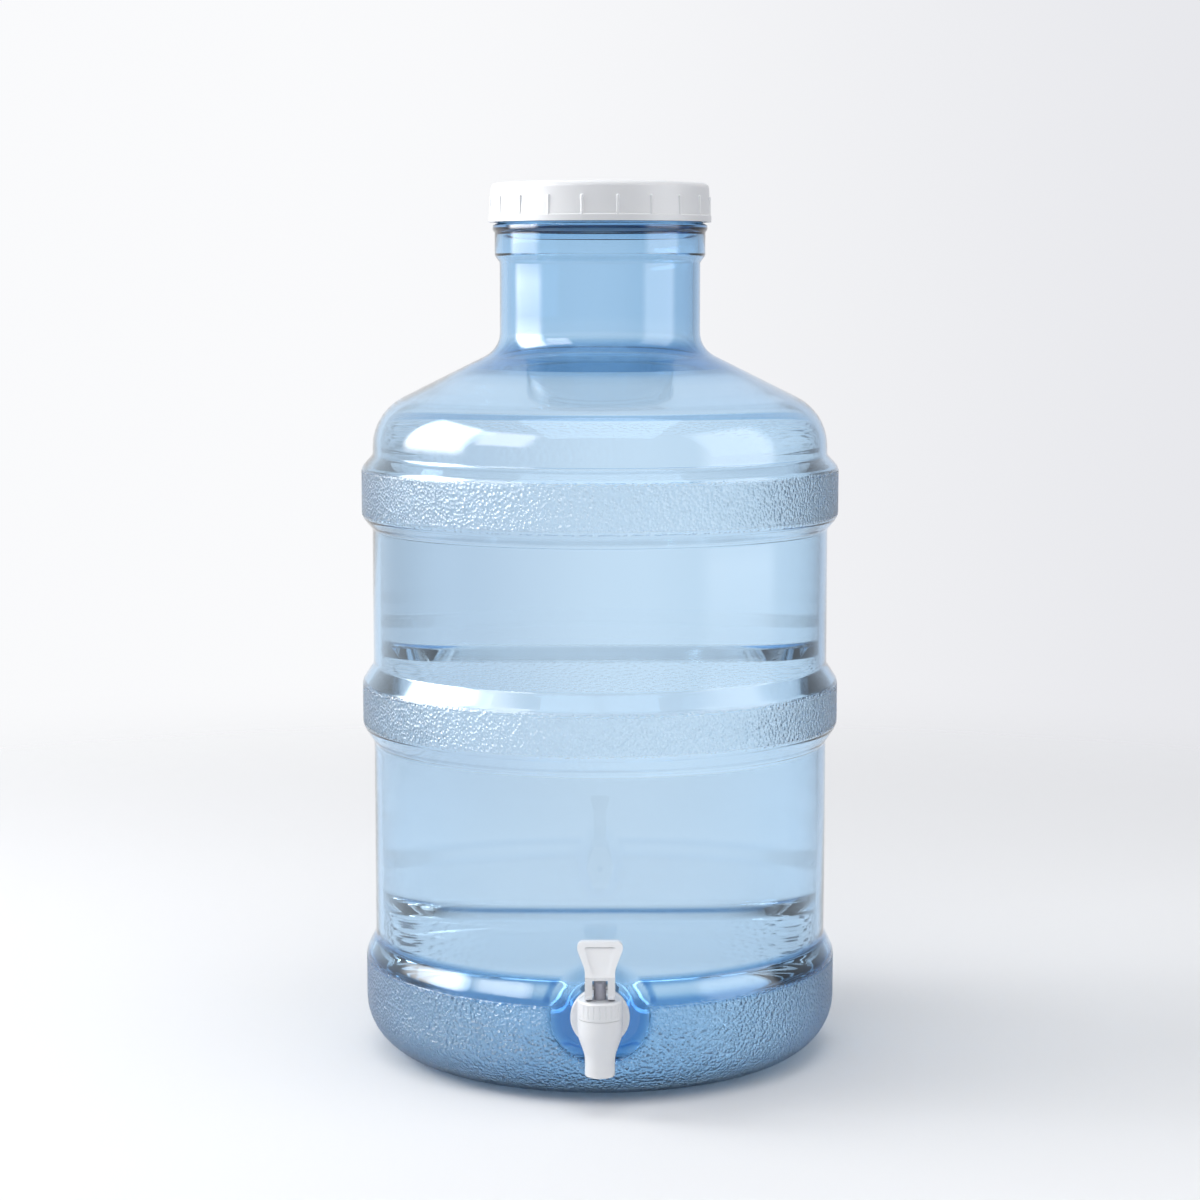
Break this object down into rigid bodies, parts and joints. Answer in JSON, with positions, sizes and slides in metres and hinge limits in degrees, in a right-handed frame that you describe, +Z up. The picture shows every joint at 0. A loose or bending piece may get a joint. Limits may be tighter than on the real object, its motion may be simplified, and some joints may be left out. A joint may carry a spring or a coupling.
{
  "type": "carboy with spigot",
  "caption": "Clear blue water carboy with banded body, wide neck, ribbed white screw cap and a white lever spigot set in a recess at its foot.",
  "frame": {"origin": "on the floor, on the vessel's own axis, in the plane of its foot ring", "axes": "+Z up along the vessel's axis; the spigot faces -Y; +X to the right as seen from the front"},
  "size_m": [0.2698, 0.2967, 0.4906],
  "materials": {
    "blue_shell": "clear blue polycarbonate, gloss, with a fine pebble grain on the bands",
    "white_plastic": "satin white moulded polypropylene",
    "grey_plastic": "satin grey acetal",
    "foam": "matt white foamed polyethylene",
    "silicone": "matt translucent white silicone",
    "steel": "plain stainless steel"
  },
  "bodies": {
    "vessel": {"vessel": "blue_shell", "spigot_body": "white_plastic", "outer_gasket": "silicone", "inner_gasket": "silicone", "shank_nut": "white_plastic", "bonnet": "white_plastic", "seat_cup": "silicone"},
    "liner": {"cap_liner": "foam"},
    "cap": {"cap": "white_plastic"},
    "stem": {"stem": "grey_plastic"},
    "lever": {"lever": "white_plastic", "hinge_pin": "steel"}
  },
  "joints": [
    {"name": "cap_rise", "type": "slide", "parent": "vessel", "child": "liner", "axis": [0, 0, 1], "range_m": [0, 0.009]},
    {"name": "cap_turn", "type": "hinge", "parent": "liner", "child": "cap", "pos_m": [0, 0, 0.48], "axis": [0, 0, 1], "range_deg": [0, 540]},
    {"name": "stem_lift", "type": "slide", "parent": "vessel", "child": "stem", "axis": [0, 0, 1], "range_m": [0, 0.003], "deforming": ["seat_cup"]},
    {"name": "lever_tilt", "type": "hinge", "parent": "stem", "child": "lever", "pos_m": [0, -0.15, 0.0695], "axis": [1, 0, 0], "range_deg": [0, 50], "stiffness_Nm_per_rad": 0.0095, "springref_deg": -83.08}
  ],
  "couplings": [
    {"joint": "cap_rise", "follows": "cap_turn", "m_per_rad": 0.0009549},
    {"joint": "stem_lift", "follows": "lever_tilt", "m_per_rad": 0.0034377}
  ]
}
